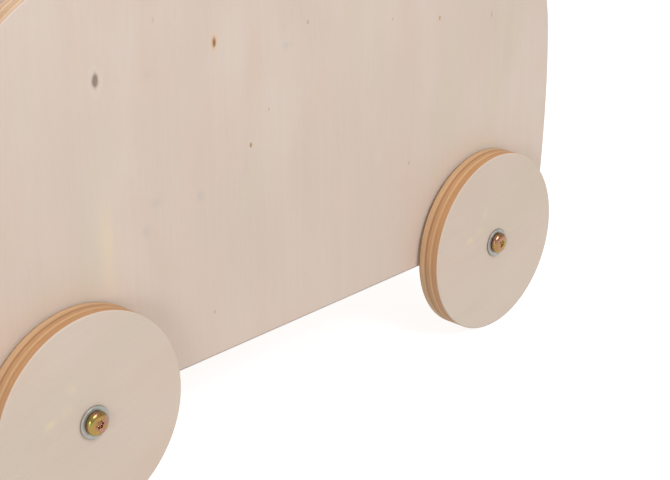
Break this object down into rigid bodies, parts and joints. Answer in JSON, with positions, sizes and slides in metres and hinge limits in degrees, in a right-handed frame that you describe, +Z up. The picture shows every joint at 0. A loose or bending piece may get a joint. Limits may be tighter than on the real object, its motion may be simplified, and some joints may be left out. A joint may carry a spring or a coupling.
{
  "type": "toy wagon",
  "caption": "Plywood toy wagon: tall bowed sides with rounded top corners, an open box between them, disc wheels outside, and a hinged wooden pull handle at the front.",
  "frame": {"origin": "on the floor, in the middle of the wagon's whole length and width", "axes": "+Z up, -X towards the front, where the pull handle is, -Y towards the wagon's left side"},
  "size_m": [0.5896, 0.3832, 0.5649],
  "materials": {
    "panel_plywood": "pale bare plywood with a thin matt seal, face grain upright on the sides",
    "wheel_plywood": "pale bare plywood discs, warm tan layers showing on the tread",
    "batten_wood": "planed softwood, uncoated",
    "beech": "sanded beech, satin oil",
    "yellow_zinc": "yellow chromated zinc plate, slightly iridescent",
    "bright_zinc": "dull bright zinc plate",
    "nylon": "natural nylon",
    "rubber": "matt black rubber"
  },
  "bodies": {
    "wagon_body": {"floor_panel": "panel_plywood", "front_axle_beam": "batten_wood", "front_left_axle_screw": "yellow_zinc", "front_left_corner_cleat": "batten_wood", "front_left_floor_screw": "bright_zinc", "front_left_outer_washer": "bright_zinc", "front_left_spacer_washer": "bright_zinc", "front_left_threaded_insert": "bright_zinc", "front_panel": "panel_plywood", "front_right_axle_screw": "yellow_zinc", "front_right_corner_cleat": "batten_wood", "front_right_floor_screw": "bright_zinc", "front_right_outer_washer": "bright_zinc", "front_right_spacer_washer": "bright_zinc", "front_right_threaded_insert": "bright_zinc", "handle_rest_pad": "rubber", "left_bracket_cheek": "beech", "left_floor_cleat": "batten_wood", "left_lower_bracket_screw": "bright_zinc", "left_pivot_spacer": "bright_zinc", "left_pivot_washer": "bright_zinc", "left_side_panel": "panel_plywood", "left_upper_bracket_screw": "bright_zinc", "pivot_bolt": "yellow_zinc", "pivot_nut": "bright_zinc", "rear_axle_beam": "batten_wood", "rear_left_axle_screw": "yellow_zinc", "rear_left_corner_cleat": "batten_wood", "rear_left_floor_screw": "bright_zinc", "rear_left_outer_washer": "bright_zinc", "rear_left_spacer_washer": "bright_zinc", "rear_left_threaded_insert": "bright_zinc", "rear_panel": "panel_plywood", "rear_right_axle_screw": "yellow_zinc", "rear_right_corner_cleat": "batten_wood", "rear_right_floor_screw": "bright_zinc", "rear_right_outer_washer": "bright_zinc", "rear_right_spacer_washer": "bright_zinc", "rear_right_threaded_insert": "bright_zinc", "right_bracket_cheek": "beech", "right_floor_cleat": "batten_wood", "right_lower_bracket_screw": "bright_zinc", "right_pivot_spacer": "bright_zinc", "right_pivot_washer": "bright_zinc", "right_side_panel": "panel_plywood", "right_upper_bracket_screw": "bright_zinc"},
    "pull_handle": {"drawbar": "beech", "grip": "beech", "grip_pin": "beech", "handle_bush": "nylon"},
    "wheel_front_left": {"front_left_wheel": "wheel_plywood", "front_left_wheel_bush": "nylon"},
    "wheel_front_right": {"front_right_wheel": "wheel_plywood", "front_right_wheel_bush": "nylon"},
    "wheel_rear_left": {"rear_left_wheel": "wheel_plywood", "rear_left_wheel_bush": "nylon"},
    "wheel_rear_right": {"rear_right_wheel": "wheel_plywood", "rear_right_wheel_bush": "nylon"}
  },
  "joints": [
    {"name": "handle_hinge", "type": "hinge", "parent": "wagon_body", "child": "pull_handle", "pos_m": [-0.2768, 0, 0.105], "axis": [0, -1, 0], "range_deg": [0, 104]},
    {"name": "front_left_wheel_spin", "type": "hinge", "parent": "wagon_body", "child": "wheel_front_left", "pos_m": [-0.1828, -0.1762, 0.07], "axis": [0, -1, 0], "continuous": true},
    {"name": "front_right_wheel_spin", "type": "hinge", "parent": "wagon_body", "child": "wheel_front_right", "pos_m": [-0.1828, 0.1762, 0.07], "axis": [0, -1, 0], "continuous": true},
    {"name": "rear_left_wheel_spin", "type": "hinge", "parent": "wagon_body", "child": "wheel_rear_left", "pos_m": [0.2092, -0.1762, 0.07], "axis": [0, -1, 0], "continuous": true},
    {"name": "rear_right_wheel_spin", "type": "hinge", "parent": "wagon_body", "child": "wheel_rear_right", "pos_m": [0.2092, 0.1762, 0.07], "axis": [0, -1, 0], "continuous": true}
  ]
}
